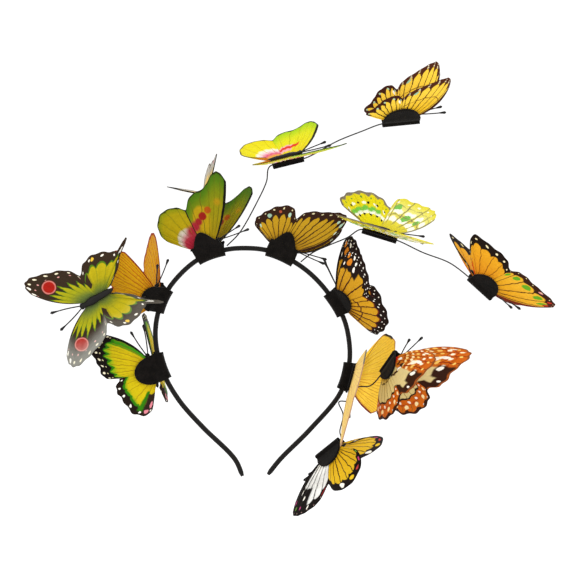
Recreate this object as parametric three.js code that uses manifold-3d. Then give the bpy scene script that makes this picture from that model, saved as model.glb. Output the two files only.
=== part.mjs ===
// Butterfly headband: a fabric-covered spring band that carries fourteen film butterflies.
// Millimetres, +Z up, the wearer's face towards -Y. The origin is the inside of the band at the
// crown, where it sits on the head. The layout is drawn in the plane of the hoop (x right, y up,
// z towards the front) and one group turns it upright.
import * as THREE from 'three';
import { mergeVertices } from 'three/addons/utils/BufferGeometryUtils.js';
import Module from 'manifold-3d';

const wasm = await Module();
wasm.setup();

// Driving dimensions
const BAND_THICKNESS = 3.3;
const BAND_WIDTH = 5.4;
const BAND_CORNER = 1.0;
const BAND_STEPS = 46;
const CROWN_HEIGHT = 1.6;
const HOOP_SAMPLES = 600;
const WIRE_RADIUS = 0.45;
const WIRE_SIDES = 4;
const FILM = 0.7;
const WING_CURL = 2.5;
const LEAD_SHARE = 0.6;
const WING_RINGS = 3;
const FORE_RAYS = 7;
const HIND_RAYS = 6;
const ROOT_FRONT = 7;
const ROOT_REAR = 9;
const ROOT_GAP = 0.7;
const BODY_LENGTH = 25;
const BODY_HALF_WIDTH = 2.6;
const BODY_FLATNESS = 0.62;
const BODY_SIDES = 7;
const BODY_CLEARANCE = 0.7;
const BODY_MIDDLE = 0.55;
const HEAD_SHARE = 0.42;
const FLAT_SPREAD = 88;
const ANTENNA_LENGTH = 19;
const ANTENNA_RADIUS = 0.32;
const ANTENNA_SIDES = 4;
const ANTENNA_STEPS = 2;
const FELT = 1.2;
const PAD_START = 1.2;
const PAD_STATIONS = 4;
const PAD_BENDS = 9;
const PAD_ROUNDNESS = 0.97;
const PAD_PEAK = 0.5;
const PAD_LIP = 1.5;
const GAP = 0.3;
const WIRE_SEAT = 1.8;
const BAND_SEAT = 2.2;
const FLAT_STEM_SEAT = 0.8;
const SMALL_STEM_SEAT = 0.2;

const deg = THREE.MathUtils.degToRad;
const lerp = THREE.MathUtils.lerp;

const FABRIC = { color: '#15120f', roughness: 0.75 };
const FELT_BLACK = { color: '#1a1817', roughness: 0.95 };
const BODY_BLACK = { color: '#141210', roughness: 0.6 };
const WIRE_BLACK = { color: '#1d1c1b', roughness: 0.45, metalness: 0.4 };

// Centreline of the hoop, from the left tip over the crown to the right tip
const HOOP = [
  { x: -7, y: -150 }, { x: -12, y: -139 }, { x: -34, y: -117 }, { x: -49, y: -100 },
  { x: -59, y: -83 }, { x: -64, y: -67 }, { x: -65, y: -52 }, { x: -62, y: -37 },
  { x: -54, y: -22 }, { x: -37, y: -6 }, { x: -19, y: 0.6 }, { x: -4, y: 1.8 },
  { x: 10, y: 0.2 }, { x: 25, y: -6 }, { x: 38, y: -15 }, { x: 50, y: -28 },
  { x: 60, y: -44 }, { x: 64, y: -60 }, { x: 64, y: -76 }, { x: 58, y: -95 },
  { x: 38, y: -119 }, { x: 18, y: -139 }, { x: 10, y: -149 },
];

// Wing outlines, in the plane of the wing: bearing in degrees from the head, reach in mm from the
// middle of the root. fore runs from the leading side of the tip to the notch, hind from the
// notch to the inner corner. lead is how far the leading edge bows forward.
const WINGS = {
  swallowtail: {
    lead: 3,
    fore: [
      { bearing: 35, reach: 41 }, { bearing: 41, reach: 46 }, { bearing: 48, reach: 45 },
      { bearing: 59, reach: 36 }, { bearing: 76, reach: 27 }, { bearing: 89, reach: 18 },
    ],
    hind: [
      { bearing: 89, reach: 18 }, { bearing: 103, reach: 25 }, { bearing: 119, reach: 30 },
      { bearing: 137, reach: 33 }, { bearing: 147, reach: 46 }, { bearing: 152, reach: 32 },
      { bearing: 168, reach: 14 },
    ],
  },
  garden: {
    lead: 3,
    fore: [
      { bearing: 34, reach: 39 }, { bearing: 46, reach: 45 }, { bearing: 55, reach: 43 },
      { bearing: 66, reach: 37 }, { bearing: 80, reach: 33 }, { bearing: 86, reach: 23 },
    ],
    hind: [
      { bearing: 86, reach: 23 }, { bearing: 99, reach: 28 }, { bearing: 117, reach: 29 },
      { bearing: 140, reach: 33 }, { bearing: 160, reach: 30 }, { bearing: 168, reach: 15 },
    ],
  },
  plain: {
    lead: 1.5,
    fore: [
      { bearing: 44, reach: 43 }, { bearing: 51, reach: 48 }, { bearing: 59, reach: 47 },
      { bearing: 71, reach: 41 }, { bearing: 83, reach: 37 }, { bearing: 90, reach: 31 },
    ],
    hind: [
      { bearing: 90, reach: 31 }, { bearing: 104, reach: 38 }, { bearing: 120, reach: 40 },
      { bearing: 136, reach: 37 }, { bearing: 150, reach: 32 }, { bearing: 161, reach: 15 },
    ],
  },
  leaf: {
    lead: 2.5,
    fore: [
      { bearing: 47, reach: 48 }, { bearing: 54, reach: 53 }, { bearing: 59, reach: 51 },
      { bearing: 66, reach: 41 }, { bearing: 82, reach: 36 }, { bearing: 95, reach: 28 },
    ],
    hind: [
      { bearing: 95, reach: 28 }, { bearing: 106, reach: 34 }, { bearing: 122, reach: 38 },
      { bearing: 138, reach: 36 }, { bearing: 152, reach: 29 }, { bearing: 163, reach: 14 },
    ],
  },
  tiger: {
    lead: 4.5,
    fore: [
      { bearing: 43, reach: 42 }, { bearing: 49, reach: 47 }, { bearing: 55, reach: 45 },
      { bearing: 64, reach: 37 }, { bearing: 80, reach: 29 }, { bearing: 90, reach: 21 },
    ],
    hind: [
      { bearing: 90, reach: 21 }, { bearing: 101, reach: 28 }, { bearing: 122, reach: 28 },
      { bearing: 145, reach: 27 }, { bearing: 161, reach: 26 }, { bearing: 172, reach: 14 },
    ],
  },
  small_tiger: {
    lead: 4.5,
    fore: [
      { bearing: 41, reach: 40 }, { bearing: 49, reach: 46 }, { bearing: 54, reach: 43 },
      { bearing: 63, reach: 34 }, { bearing: 79, reach: 25 }, { bearing: 90, reach: 19 },
    ],
    hind: [
      { bearing: 90, reach: 19 }, { bearing: 101, reach: 23 }, { bearing: 122, reach: 23 },
      { bearing: 145, reach: 22 }, { bearing: 165, reach: 25 }, { bearing: 174, reach: 14 },
    ],
  },
  monarch: {
    lead: 2,
    fore: [
      { bearing: 43, reach: 41 }, { bearing: 49, reach: 47 }, { bearing: 56, reach: 47 },
      { bearing: 65, reach: 41 }, { bearing: 80, reach: 33 }, { bearing: 93, reach: 26 },
    ],
    hind: [
      { bearing: 93, reach: 26 }, { bearing: 107, reach: 35 }, { bearing: 127, reach: 38 },
      { bearing: 147, reach: 35 }, { bearing: 163, reach: 30 }, { bearing: 172, reach: 14 },
    ],
  },
  lime: {
    lead: 3,
    fore: [
      { bearing: 36, reach: 41 }, { bearing: 43, reach: 46 }, { bearing: 50, reach: 45 },
      { bearing: 63, reach: 40 }, { bearing: 79, reach: 36 }, { bearing: 84, reach: 23 },
    ],
    hind: [
      { bearing: 84, reach: 23 }, { bearing: 102, reach: 32 }, { bearing: 122, reach: 37 },
      { bearing: 142, reach: 38 }, { bearing: 157, reach: 34 }, { bearing: 166, reach: 17 },
    ],
  },
  orange: {
    lead: 3.5,
    fore: [
      { bearing: 27, reach: 43 }, { bearing: 32, reach: 49 }, { bearing: 38, reach: 46 },
      { bearing: 53, reach: 35 }, { bearing: 73, reach: 29 }, { bearing: 85, reach: 23 },
    ],
    hind: [
      { bearing: 85, reach: 23 }, { bearing: 104, reach: 29 }, { bearing: 126, reach: 34 },
      { bearing: 144, reach: 42 }, { bearing: 153, reach: 31 }, { bearing: 162, reach: 15 },
    ],
  },
  checkered: {
    lead: 3,
    fore: [
      { bearing: 34, reach: 48 }, { bearing: 39, reach: 56 }, { bearing: 44, reach: 55 },
      { bearing: 55, reach: 43 }, { bearing: 73, reach: 36 }, { bearing: 88, reach: 28 },
    ],
    hind: [
      { bearing: 88, reach: 28 }, { bearing: 100, reach: 34 }, { bearing: 120, reach: 37 },
      { bearing: 140, reach: 36 }, { bearing: 154, reach: 28 }, { bearing: 163, reach: 14 },
    ],
  },
  clearwing: {
    lead: 2.5,
    fore: [
      { bearing: 21, reach: 44 }, { bearing: 27, reach: 50 }, { bearing: 33, reach: 49 },
      { bearing: 43, reach: 43 }, { bearing: 58, reach: 34 }, { bearing: 71, reach: 22 },
    ],
    hind: [
      { bearing: 71, reach: 22 }, { bearing: 88, reach: 31 }, { bearing: 112, reach: 37 },
      { bearing: 134, reach: 36 }, { bearing: 151, reach: 27 }, { bearing: 163, reach: 14 },
    ],
  },
};

// The butterflies. on is what carries each: the band, a wire or a stem. x, y, z place the wing
// root (those on the band are drawn onto its outer face), heading turns the head in the plane of
// the hoop and pitch leans it forward. right and left are the wings' turns about the body, from
// 0 (in the plane, left of the heading) through 90 (straight to the front). padLength runs along
// the body and padHeight up the wings.
const BUTTERFLIES = [
  { name: 'spread', wing: 'swallowtail', color: '#8f9a1c', size: 1, on: 'stem',
    x: -102, y: -32, z: 26, heading: 210, pitch: 0, right: 167, left: 13 },
  { name: 'amber', wing: 'plain', color: '#e0a019', size: 0.93, on: 'band',
    x: -60, y: -33, z: 0, heading: 69, pitch: 31, right: 15, left: -60,
    padLength: 20, padHeight: 9 },
  { name: 'temple', wing: 'garden', color: '#c9b11e', size: 1, on: 'band',
    x: -62, y: -77, z: 0, heading: 107, pitch: 12, right: 15, left: -97,
    padLength: 19, padHeight: 13 },
  { name: 'leaf', wing: 'leaf', color: '#97a01c', size: 1, on: 'band',
    x: -28.5, y: -2, z: 0, heading: 21, pitch: 22, right: 15, left: -50,
    padLength: 21, padHeight: 11, padPeak: 1.6 },
  { name: 'rear', wing: 'leaf', color: '#d9d0b8', size: 0.6, on: 'stem',
    x: -33, y: 39, z: -12, heading: 335, pitch: 80, right: 107, left: 10 },
  { name: 'lemon', wing: 'leaf', color: '#e3d41d', size: 1, on: 'wire',
    x: 23, y: 61, z: 4, heading: 14.5, pitch: -10, right: 97, left: -60,
    padLength: 21, padHeight: 8 },
  { name: 'tip_tiger', wing: 'small_tiger', color: '#d8a52c', size: 1, on: 'wire',
    x: 98.5, y: 88, z: 0, heading: 6, pitch: -5, right: 57, left: -8,
    padLength: 25, padHeight: 12 },
  { name: 'crown_tiger', wing: 'tiger', color: '#d39a2a', size: 1, on: 'band',
    x: 19, y: -1, z: 0, heading: -24, pitch: 0, right: 8, left: -35,
    padLength: 20, padHeight: 11.5, padPeak: 1.6 },
  { name: 'monarch', wing: 'monarch', color: '#d8862a', size: 1, on: 'band',
    x: 57, y: -34, z: 0, heading: 120, pitch: 10, right: 224, left: 127,
    padLength: 18, padHeight: 9.5 },
  { name: 'lime', wing: 'lime', color: '#e6df3a', size: 1, on: 'wire',
    x: 85, y: 12.5, z: 0, heading: -17, pitch: 0, right: 92, left: -45,
    padLength: 24, padHeight: 9 },
  { name: 'tip_orange', wing: 'orange', color: '#e39a20', size: 1, on: 'wire',
    x: 153, y: -23, z: 0, heading: -41, pitch: -15, right: 45, left: -64,
    padLength: 21, padHeight: 10 },
  { name: 'plain', wing: 'plain', color: '#e6c12c', size: 1.06, on: 'band',
    x: 66, y: -85, z: 0, heading: 255, pitch: -20, right: 90, left: -56,
    padLength: 20, padHeight: 8 },
  { name: 'checkered', wing: 'checkered', color: '#dd7a1c', size: 1, on: 'wire',
    x: 92, y: -76, z: 2, heading: 58, pitch: 32, right: 175, left: 117,
    padLength: 19, padHeight: 10 },
  { name: 'clearwing', wing: 'clearwing', color: '#d9b32a', size: 1, on: 'wire',
    x: 52, y: -135, z: -12, heading: 222, pitch: -31, right: 55, left: -55,
    padLength: 22, padHeight: 10 },
];

const headband = new THREE.Group();
const hoopPlane = new THREE.Group();
hoopPlane.rotation.x = deg(90);
hoopPlane.position.z = BAND_THICKNESS / 2 - CROWN_HEIGHT;
headband.add(hoopPlane);

function addPart(name, geometry, look, parent) {
  const mesh = new THREE.Mesh(geometry, new THREE.MeshStandardMaterial(look));
  mesh.name = name;
  parent.add(mesh);
  return mesh;
}

// Joining of closed shells
function shellOf(geometry) {
  const bare = geometry.clone();
  bare.deleteAttribute('normal');
  bare.deleteAttribute('uv');
  const merged = mergeVertices(bare, 1e-4);
  return new wasm.Manifold(new wasm.Mesh({
    numProp: 3,
    vertProperties: new Float32Array(merged.attributes.position.array),
    triVerts: new Uint32Array(merged.index.array),
  }));
}

function join(geometries) {
  const solid = geometries.map(shellOf).reduce((whole, next) => whole.add(next));
  const { vertProperties, triVerts } = solid.getMesh();
  const geometry = new THREE.BufferGeometry();
  geometry.setAttribute('position', new THREE.BufferAttribute(vertProperties, 3));
  geometry.setIndex(new THREE.BufferAttribute(triVerts, 1));
  geometry.computeVertexNormals();
  return geometry;
}

// A box divided into a grid, each of whose points is placed by a rule
function mappedBox(columns, rows, place) {
  const geometry = new THREE.BoxGeometry(1, 1, 1, columns, rows, 1);
  const position = geometry.attributes.position;
  for (let i = 0; i < position.count; i += 1) {
    const point = place(position.getX(i) + 0.5, position.getY(i) + 0.5, position.getZ(i) * 2);
    position.setXYZ(i, point.x, point.y, point.z);
  }
  geometry.computeVertexNormals();
  return geometry;
}

function tube(points, radius, sides, steps) {
  const section = new THREE.Shape();
  section.setFromPoints(new THREE.EllipseCurve(0, 0, radius, radius).getPoints(sides).slice(0, -1));
  return new THREE.ExtrudeGeometry(section, {
    extrudePath: new THREE.CatmullRomCurve3(points, false, 'centripetal'),
    steps,
    bevelEnabled: false,
  });
}

// Band
const hoopPoints = HOOP.map(({ x, y }) => new THREE.Vector3(x, y, 0));
const hoopCurve = new THREE.CatmullRomCurve3(hoopPoints, false, 'centripetal');
hoopCurve.arcLengthDivisions = HOOP_SAMPLES;
const hoopLength = hoopCurve.getLength();

function bandSection() {
  const thick = BAND_THICKNESS / 2;
  const wide = BAND_WIDTH / 2;
  const section = new THREE.Shape();
  section.setFromPoints([
    new THREE.Vector2(wide, thick - BAND_CORNER),
    new THREE.Vector2(wide - BAND_CORNER, thick),
    new THREE.Vector2(BAND_CORNER - wide, thick),
    new THREE.Vector2(-wide, thick - BAND_CORNER),
    new THREE.Vector2(-wide, BAND_CORNER - thick),
    new THREE.Vector2(BAND_CORNER - wide, -thick),
    new THREE.Vector2(wide - BAND_CORNER, -thick),
    new THREE.Vector2(wide, BAND_CORNER - thick),
  ]);
  return section;
}

addPart('band', new THREE.ExtrudeGeometry(bandSection(), {
  extrudePath: hoopCurve,
  steps: BAND_STEPS,
  bevelEnabled: false,
}), FABRIC, hoopPlane);

// Place along the hoop that is nearest to a point, as a share of its length
function shareNearest(x, y) {
  const samples = Array.from({ length: HOOP_SAMPLES + 1 }, (_, i) => i / HOOP_SAMPLES);
  const target = new THREE.Vector3(x, y, 0);
  const distance = (share) => hoopCurve.getPointAt(share).distanceTo(target);
  return samples.reduce((best, share) => (distance(share) < distance(best) ? share : best));
}

// Middle of the band's outer face at a share of its length, and the way out from it
function outerFace(share) {
  const along = hoopCurve.getTangentAt(share);
  const out = new THREE.Vector3(-along.y, along.x, 0);
  const point = hoopCurve.getPointAt(share).addScaledVector(out, BAND_THICKNESS / 2);
  return { point, out };
}

// Wings
function marginOf(rows, size) {
  const points = rows.map(({ bearing, reach }) => new THREE.Vector2(
    size * reach * Math.cos(deg(bearing)),
    size * reach * Math.sin(deg(bearing)),
  ));
  return new THREE.SplineCurve(points);
}

function wingGeometry({ lead, fore, hind }, size, side) {
  const foreMargin = marginOf(fore, size);
  const hindMargin = marginOf(hind, size);
  const rays = FORE_RAYS + HIND_RAYS;
  const split = FORE_RAYS / rays;
  return mappedBox(WING_RINGS, rays, (out, across, face) => {
    const edge = across <= split
      ? foreMargin.getPoint(across / split)
      : hindMargin.getPoint((across - split) / (1 - split));
    const root = new THREE.Vector2(lerp(ROOT_FRONT, -ROOT_REAR, across) * size, ROOT_GAP);
    const hump = 4 * out * (1 - out);
    const bow = lead * size * Math.max(0, 1 - across / (LEAD_SHARE * split)) * hump;
    const ray = edge.clone().sub(root);
    const forward = new THREE.Vector2(ray.y, -ray.x).normalize();
    const flat = root.addScaledVector(ray, out).addScaledVector(forward, bow);
    const lift = -side * WING_CURL * size * out ** 2 + face * FILM / 2;
    return new THREE.Vector3(flat.x, flat.y, lift);
  });
}

// Body with its two antennae, along +x, back up +y
const BODY_PROFILE = [
  { along: 0, radius: 0 }, { along: 0.06, radius: 0.5 }, { along: 0.3, radius: 0.85 },
  { along: 0.6, radius: 1 }, { along: 0.84, radius: 0.7 }, { along: 0.93, radius: 0.75 },
  { along: 1, radius: 0 },
];

function bodyGeometry(size) {
  const length = BODY_LENGTH * size;
  const radius = BODY_HALF_WIDTH * size;
  const profile = BODY_PROFILE.map((row) =>
    new THREE.Vector2(row.radius * radius, (row.along - BODY_MIDDLE) * length));
  const trunk = new THREE.LatheGeometry(profile, BODY_SIDES);
  trunk.rotateZ(deg(-90));
  trunk.scale(1, BODY_FLATNESS, 1);
  const head = HEAD_SHARE * length;
  const reach = ANTENNA_LENGTH * size;
  const antennae = [-1, 1].map((side) => tube([
    new THREE.Vector3(head - 1.5, 0, side * 0.35),
    new THREE.Vector3(head + 0.45 * reach, 0.6, side * 0.2 * reach),
    new THREE.Vector3(head + reach, 1.4, side * 0.34 * reach),
  ], ANTENNA_RADIUS, ANTENNA_SIDES, ANTENNA_STEPS));
  return join([trunk, ...antennae]);
}

// How far each wing's root stands out from the middle so that the body lies clear between them
function hingeOffset(spread, size) {
  const wide = BODY_HALF_WIDTH * size;
  const thick = wide * BODY_FLATNESS;
  if (spread >= deg(FLAT_SPREAD)) return 0;
  const reach = Math.hypot(wide * Math.cos(spread), thick * Math.sin(spread));
  const height = thick + BODY_CLEARANCE;
  const offset = (reach + BODY_CLEARANCE - height * Math.sin(spread)) / Math.cos(spread);
  return Math.max(0, offset);
}

// A folded felt disc: two cheeks under the wings, joined by a fold round the carrier.
// carrierAt gives, for a station along the body, the carrier's face, the way out and the way across.
function padGeometry({ row, dorsal, spread, hinge, carrierAt, thick, halfWide }) {
  const offset = FILM / 2 + GAP + FELT / 2;
  const clear = GAP + FELT / 2;
  const direction = (angle) => new THREE.Vector3(0, Math.cos(angle), Math.sin(angle));
  const lateral = direction(dorsal + deg(90));
  const cheek = (side, x, distance) => new THREE.Vector3(x, 0, 0)
    .addScaledVector(lateral, side * hinge)
    .addScaledVector(direction(dorsal + side * spread), distance)
    .addScaledVector(direction(dorsal + side * (spread + deg(90))), offset);
  const halfPath = (side, x) => {
    const dome = Math.max(0, 1 - (2 * x / row.padLength) ** 2 * PAD_ROUNDNESS) ** (row.padPeak ?? PAD_PEAK);
    const { point, out, across } = carrierAt(x);
    const riseOf = (place) => place.clone().sub(point).dot(out);
    const asideOf = (place) => place.clone().sub(point).dot(across) * side;
    let start = PAD_START;
    let begin = cheek(side, x, start);
    while (riseOf(begin) < clear + FELT / 2 && asideOf(begin) < halfWide + clear) {
      start += PAD_START / 4;
      begin = cheek(side, x, start);
    }
    const height = Math.max(start + PAD_LIP, row.padHeight * dome);
    const beside = point.clone().addScaledVector(across, side * (halfWide + clear));
    return [
      cheek(side, x, height),
      cheek(side, x, (start + height) / 2),
      begin,
      beside.clone().addScaledVector(out, Math.min(0, riseOf(begin) - FELT)),
      beside.clone().addScaledVector(out, -(thick + clear)),
    ];
  };
  return mappedBox(PAD_STATIONS, PAD_BENDS, (along, round, face) => {
    const x = (along - 0.5) * row.padLength;
    const path = [...halfPath(1, x), ...halfPath(-1, x).reverse()];
    const at = Math.round((1 - round) * PAD_BENDS);
    const normalOf = (from, to) => new THREE.Vector3(1, 0, 0).cross(to.clone().sub(from)).normalize();
    const before = normalOf(path[Math.max(0, at - 1)], path[Math.max(1, at)]);
    const after = normalOf(path[Math.min(PAD_BENDS - 1, at)], path[Math.min(PAD_BENDS, at + 1)]);
    const mitre = before.clone().add(after).divideScalar(Math.max(0.6, 1 + before.dot(after)));
    return path[at].addScaledVector(mitre, -face * FELT / 2);
  });
}

// One butterfly: its group, its two wings, its body and, where it shows, its pad
function addButterfly(row) {
  const group = new THREE.Group();
  group.rotation.set(0, deg(-row.pitch), deg(row.heading), 'ZYX');
  const dorsal = deg((row.right + row.left) / 2);
  const spread = deg((row.right - row.left) / 2);
  const hinge = hingeOffset(spread, row.size);
  const share = row.on === 'band' ? shareNearest(row.x, row.y) : null;
  group.position.set(row.x, row.y, row.z);
  if (share !== null) {
    const { point, out } = outerFace(share);
    const turned = out.clone().applyEuler(new THREE.Euler(0, 0, deg(-row.heading)));
    const outward = turned.y > 0 ? 0 : Math.PI;
    const lift = BAND_SEAT + hinge * Math.abs(Math.sin(dorsal - outward));
    group.position.copy(point).addScaledVector(out, lift);
  }
  group.updateMatrix();
  hoopPlane.add(group);

  const film = { color: row.color, roughness: 0.4 };
  const place = { row, group, dorsal, spread, hinge, share };
  for (const { word, side } of [{ word: 'right', side: 1 }, { word: 'left', side: -1 }]) {
    const geometry = wingGeometry(WINGS[row.wing], row.size, side);
    const wing = addPart(`${row.name}_${word}_wing`, geometry, film, group);
    wing.position.copy(across(place)).multiplyScalar(side * hinge);
    wing.rotation.x = deg(row[word]);
  }

  const body = addPart(`${row.name}_body`, bodyGeometry(row.size), BODY_BLACK, group);
  const clearance = spread < deg(FLAT_SPREAD) ? BODY_CLEARANCE : 0;
  place.height = BODY_HALF_WIDTH * row.size * BODY_FLATNESS + clearance;
  body.position.set(0, place.height * Math.cos(dorsal), place.height * Math.sin(dorsal));
  body.rotation.x = dorsal;

  if (row.on === 'band') addPart(`${row.name}_pad`, bandPad(place), FELT_BLACK, group);
  if (row.on === 'wire') addPart(`${row.name}_pad`, wirePad(place), FELT_BLACK, group);
  return place;
}

// The way from the left side of a butterfly to its right
const across = ({ dorsal }) => new THREE.Vector3(0, -Math.sin(dorsal), Math.cos(dorsal));

function bandPad({ row, group, dorsal, spread, hinge, share }) {
  const inward = group.matrix.clone().invert();
  const ahead = Math.sign(hoopCurve.getTangentAt(share).dot(
    new THREE.Vector3(Math.cos(deg(row.heading)), Math.sin(deg(row.heading)), 0),
  ));
  const front = new THREE.Vector3(0, 0, 1).transformDirection(inward);
  const side = Math.sign(front.dot(across({ dorsal })));
  const carrierAt = (x) => {
    const step = ahead * x * Math.cos(deg(row.pitch)) / hoopLength;
    const { point, out } = outerFace(share + step);
    return {
      point: point.applyMatrix4(inward),
      out: out.transformDirection(inward),
      across: front.clone().multiplyScalar(side),
    };
  };
  return padGeometry({
    row, dorsal, spread, hinge, carrierAt, thick: BAND_THICKNESS, halfWide: BAND_WIDTH / 2,
  });
}

function wirePad({ row, dorsal, spread, hinge }) {
  const out = new THREE.Vector3(0, Math.cos(dorsal), Math.sin(dorsal));
  const carrierAt = (x) => ({
    point: new THREE.Vector3(x, 0, 0).addScaledVector(out, -WIRE_SEAT),
    out,
    across: across({ dorsal }),
  });
  return padGeometry({
    row, dorsal, spread, hinge, carrierAt, thick: 2 * WIRE_RADIUS, halfWide: WIRE_RADIUS + GAP / 2,
  });
}

const placed = Object.fromEntries(BUTTERFLIES.map((row) => [row.name, addButterfly(row)]));

// Points of the layout that belong to a butterfly: along its body and up its back
function pointOn(name, along, up) {
  const { group, dorsal } = placed[name];
  return new THREE.Vector3(along, up * Math.cos(dorsal), up * Math.sin(dorsal))
    .applyMatrix4(group.matrix);
}

const underRoot = (name, along, seat = WIRE_SEAT) => pointOn(name, along, -(seat + WIRE_RADIUS));
const overBody = (name, along) =>
  pointOn(name, along, 2 * placed[name].height - BODY_CLEARANCE + GAP + WIRE_RADIUS);
const onBand = (x, y) => {
  const { point, out } = outerFace(shareNearest(x, y));
  return point.addScaledVector(out, GAP + WIRE_RADIUS);
};
const overCheek = (name, along, distance) => {
  const { row, group, hinge } = placed[name];
  const height = FILM / 2 + FELT + 2 * GAP + WIRE_RADIUS;
  return new THREE.Vector3(along, distance, height)
    .applyEuler(new THREE.Euler(deg(row.right), 0, 0))
    .add(across(placed[name]).multiplyScalar(hinge))
    .applyMatrix4(group.matrix);
};
const at = (x, y, z) => new THREE.Vector3(x, y, z);

// Wires and stems: each is a stiff black wire along a few points
const WIRES = [
  { name: 'high_wire', steps: 27, points: [
    onBand(-17, 1), at(-9, 12, 1), at(3, 33, 2), at(9, 46, 3), underRoot('lemon', -13),
    underRoot('lemon', 0), underRoot('lemon', 13), at(56, 73, 1), at(73, 80, -1),
    underRoot('tip_tiger', -13), underRoot('tip_tiger', 0), underRoot('tip_tiger', 12) ] },
  { name: 'side_wire', steps: 24, points: [
    onBand(31, -8), at(40, -1, -2), at(51, 4, -3), at(63, 9, -3), underRoot('lime', -13),
    underRoot('lime', 0), underRoot('lime', 13), at(113, -1, 0), at(131, -8, 0),
    underRoot('tip_orange', -13), underRoot('tip_orange', 0), underRoot('tip_orange', 10) ] },
  { name: 'drop_wire', steps: 24, points: [
    underRoot('checkered', 9), underRoot('checkered', 1), underRoot('checkered', -7),
    underRoot('checkered', -13), at(78, -90, 0), overBody('plain', 5), overBody('plain', 11),
    pointOn('plain', 16, 3), onBand(57, -101), at(60, -109, 1), at(58, -121, -5),
    underRoot('clearwing', -13), underRoot('clearwing', 0), underRoot('clearwing', 10) ] },
  { name: 'spread_stem', steps: 8, points: [
    overCheek('amber', 2, 6), at(-78, -32, 12), underRoot('spread', -8, FLAT_STEM_SEAT),
    underRoot('spread', 8, FLAT_STEM_SEAT) ] },
  { name: 'rear_stem', steps: 7, points: [
    overBody('leaf', -3), at(-35, 14, -8), underRoot('rear', -7, SMALL_STEM_SEAT),
    underRoot('rear', 5, SMALL_STEM_SEAT) ] },
];

for (const { name, points, steps } of WIRES) {
  addPart(name, tube(points, WIRE_RADIUS, WIRE_SIDES, steps), WIRE_BLACK, hoopPlane);
}

export default headband;
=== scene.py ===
import math

import bmesh
import bpy
from mathutils import Matrix, Vector


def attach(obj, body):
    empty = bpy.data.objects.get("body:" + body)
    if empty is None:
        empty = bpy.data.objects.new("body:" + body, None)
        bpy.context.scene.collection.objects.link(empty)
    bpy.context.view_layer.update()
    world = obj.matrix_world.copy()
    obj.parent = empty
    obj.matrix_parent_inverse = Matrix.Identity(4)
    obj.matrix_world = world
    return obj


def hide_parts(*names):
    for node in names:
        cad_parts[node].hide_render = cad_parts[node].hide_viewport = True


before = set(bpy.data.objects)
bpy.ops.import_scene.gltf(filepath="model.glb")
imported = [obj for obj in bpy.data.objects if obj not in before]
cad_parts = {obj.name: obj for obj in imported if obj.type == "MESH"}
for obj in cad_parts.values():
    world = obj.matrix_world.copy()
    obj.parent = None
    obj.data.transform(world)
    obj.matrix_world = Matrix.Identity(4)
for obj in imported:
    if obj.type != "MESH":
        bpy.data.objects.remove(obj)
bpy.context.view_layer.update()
mm = 0.001


# Lengths below are in millimetres, in the plane of the hoop: x right, y up, z to the front
hoop = {
    "thickness": 3.3, "width": 5.4, "crown": 1.6, "samples": 600, "steps": 170, "sides": 20,
    "squareness": 0.72, "tipStart": 0.25, "tipSteps": 1.2,
    "points": [
        (-7, -150), (-12, -139), (-34, -117), (-49, -100), (-59, -83), (-64, -67), (-65, -52), (-62, -37),
        (-54, -22), (-37, -6), (-19, 0.6), (-4, 1.8), (10, 0.2), (25, -6), (38, -15), (50, -28),
        (60, -44), (64, -60), (64, -76), (58, -95), (38, -119), (18, -139), (10, -149),
    ],
}
upright = (
    Matrix.Scale(mm, 4)
    @ Matrix.Translation((0, 0, hoop["thickness"] / 2 - hoop["crown"]))
    @ Matrix.Rotation(math.radians(90), 4, "X")
)


# A point of the curve between start and end, with the ways that it leaves and arrives
def curveAt(start, leave, end, arrive, u):
    return (
        start * (2 * u**3 - 3 * u**2 + 1) + leave * (u**3 - 2 * u**2 + u)
        + end * (3 * u**2 - 2 * u**3) + arrive * (u**3 - u**2)
    )


# Even steps along a smooth curve through a few points
def smoothPath(points, count, fine=24):
    ends = [2 * points[0] - points[1], *points, 2 * points[-1] - points[-2]]
    dense = [points[0]]
    for before, start, end, after in zip(ends, ends[1:], ends[2:], ends[3:]):
        gaps = [max((b - a).length, 1e-6) ** 0.5 for a, b in ((before, start), (start, end), (end, after))]
        leave = (start - before) / gaps[0] - (end - before) / (gaps[0] + gaps[1]) + (end - start) / gaps[1]
        arrive = (end - start) / gaps[1] - (after - start) / (gaps[1] + gaps[2]) + (after - end) / gaps[2]
        for step in range(1, fine + 1):
            dense.append(curveAt(start, leave * gaps[1], end, arrive * gaps[1], step / fine))
    lengths = [0.0]
    for a, b in zip(dense, dense[1:]):
        lengths.append(lengths[-1] + (b - a).length)
    path = []
    index = 0
    for step in range(count + 1):
        goal = lengths[-1] * step / count
        while index < len(dense) - 2 and lengths[index + 1] < goal:
            index += 1
        span = max(lengths[index + 1] - lengths[index], 1e-9)
        path.append(dense[index].lerp(dense[index + 1], min(1, (goal - lengths[index]) / span)))
    return path


hoopPath = smoothPath([Vector((x, y, 0)) for x, y in hoop["points"]], hoop["samples"])
hoopLength = sum((b - a).length for a, b in zip(hoopPath, hoopPath[1:]))


def nearestShare(x, y):
    goal = Vector((x, y, 0))
    best = min(range(len(hoopPath)), key=lambda i: (hoopPath[i] - goal).length)
    return best / hoop["samples"]


# The band's outer face at a share of its length, and the way out from it
def outerFace(share):
    place = min(max(share * hoop["samples"], 0.0), hoop["samples"] - 1e-6)
    index = int(place)
    along = (hoopPath[index + 1] - hoopPath[index]).normalized()
    out = Vector((-along.y, along.x, 0))
    middle = hoopPath[index].lerp(hoopPath[index + 1], place - index)
    return middle + out * hoop["thickness"] / 2, out


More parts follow.
